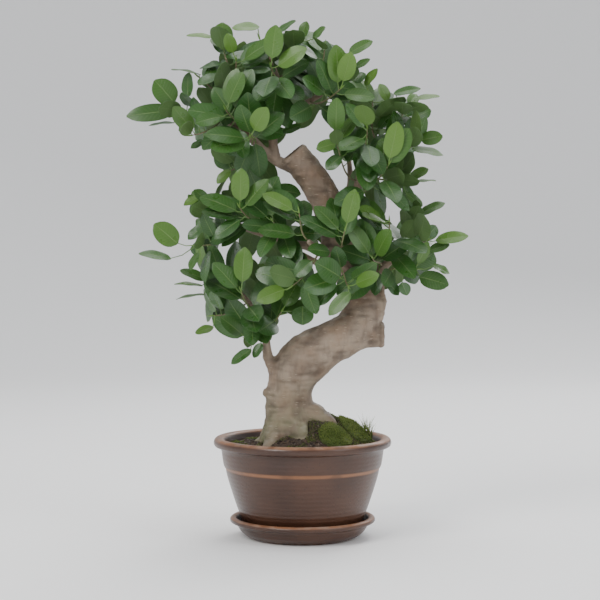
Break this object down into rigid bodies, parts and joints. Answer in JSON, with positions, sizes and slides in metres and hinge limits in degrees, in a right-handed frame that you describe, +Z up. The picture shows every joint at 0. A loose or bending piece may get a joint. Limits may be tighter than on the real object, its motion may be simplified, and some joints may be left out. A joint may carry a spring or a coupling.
{
  "type": "fig bonsai tree in a glazed pot on a saucer",
  "caption": "Fig bonsai with a thick S-curved trunk, a cut limb and pads of blunt oval leaves, planted in a round glazed pot with a rolled lip that stands in a matching saucer.",
  "frame": {"origin": "centre of the saucer's underside", "axes": "+Z up, -Y towards the side that the tree is viewed from, +X to that viewer's right"},
  "size_m": [0.4, 0.2333, 0.606],
  "materials": {
    "saucer_glaze": "satin umber-brown glaze that breaks lighter on the lip",
    "pot_glaze": "satin umber-brown glaze that breaks lighter on the lip and the band",
    "drain_mesh": "moulded black mesh",
    "soil": "moist granular compost",
    "moss": "short velvety moss",
    "bark": "smooth grey-brown fig bark with pale lenticels and faint rings",
    "foliage": "leathery glossy green leaves with a pale midrib"
  },
  "bodies": {
    "root": {"saucer": "saucer_glaze", "pot": "pot_glaze", "drain_mesh": "drain_mesh", "soil": "soil", "moss_cushion_1": "moss", "moss_cushion_2": "moss", "moss_cushion_3": "moss", "trunk": "bark", "shoot_01": "foliage", "shoot_02": "foliage", "shoot_03": "foliage", "shoot_04": "foliage", "shoot_05": "foliage", "shoot_06": "foliage", "shoot_07": "foliage", "shoot_08": "foliage", "shoot_09": "foliage", "shoot_10": "foliage", "shoot_11": "foliage", "shoot_12": "foliage", "shoot_13": "foliage", "shoot_14": "foliage", "shoot_15": "foliage", "shoot_16": "foliage", "shoot_17": "foliage", "shoot_18": "foliage", "shoot_19": "foliage", "shoot_20": "foliage", "shoot_21": "foliage", "shoot_22": "foliage", "shoot_23": "foliage", "shoot_24": "foliage", "shoot_25": "foliage", "shoot_26": "foliage", "shoot_27": "foliage", "shoot_28": "foliage", "shoot_29": "foliage", "shoot_30": "foliage", "shoot_31": "foliage", "shoot_32": "foliage", "shoot_33": "foliage", "shoot_34": "foliage", "shoot_35": "foliage", "shoot_36": "foliage", "shoot_37": "foliage", "shoot_38": "foliage", "shoot_39": "foliage", "shoot_40": "foliage", "shoot_41": "foliage", "shoot_42": "foliage", "shoot_43": "foliage", "shoot_44": "foliage", "shoot_45": "foliage", "shoot_46": "foliage", "shoot_47": "foliage", "shoot_48": "foliage", "shoot_49": "foliage", "shoot_50": "foliage", "shoot_51": "foliage", "shoot_52": "foliage"}
  },
  "joints": []
}
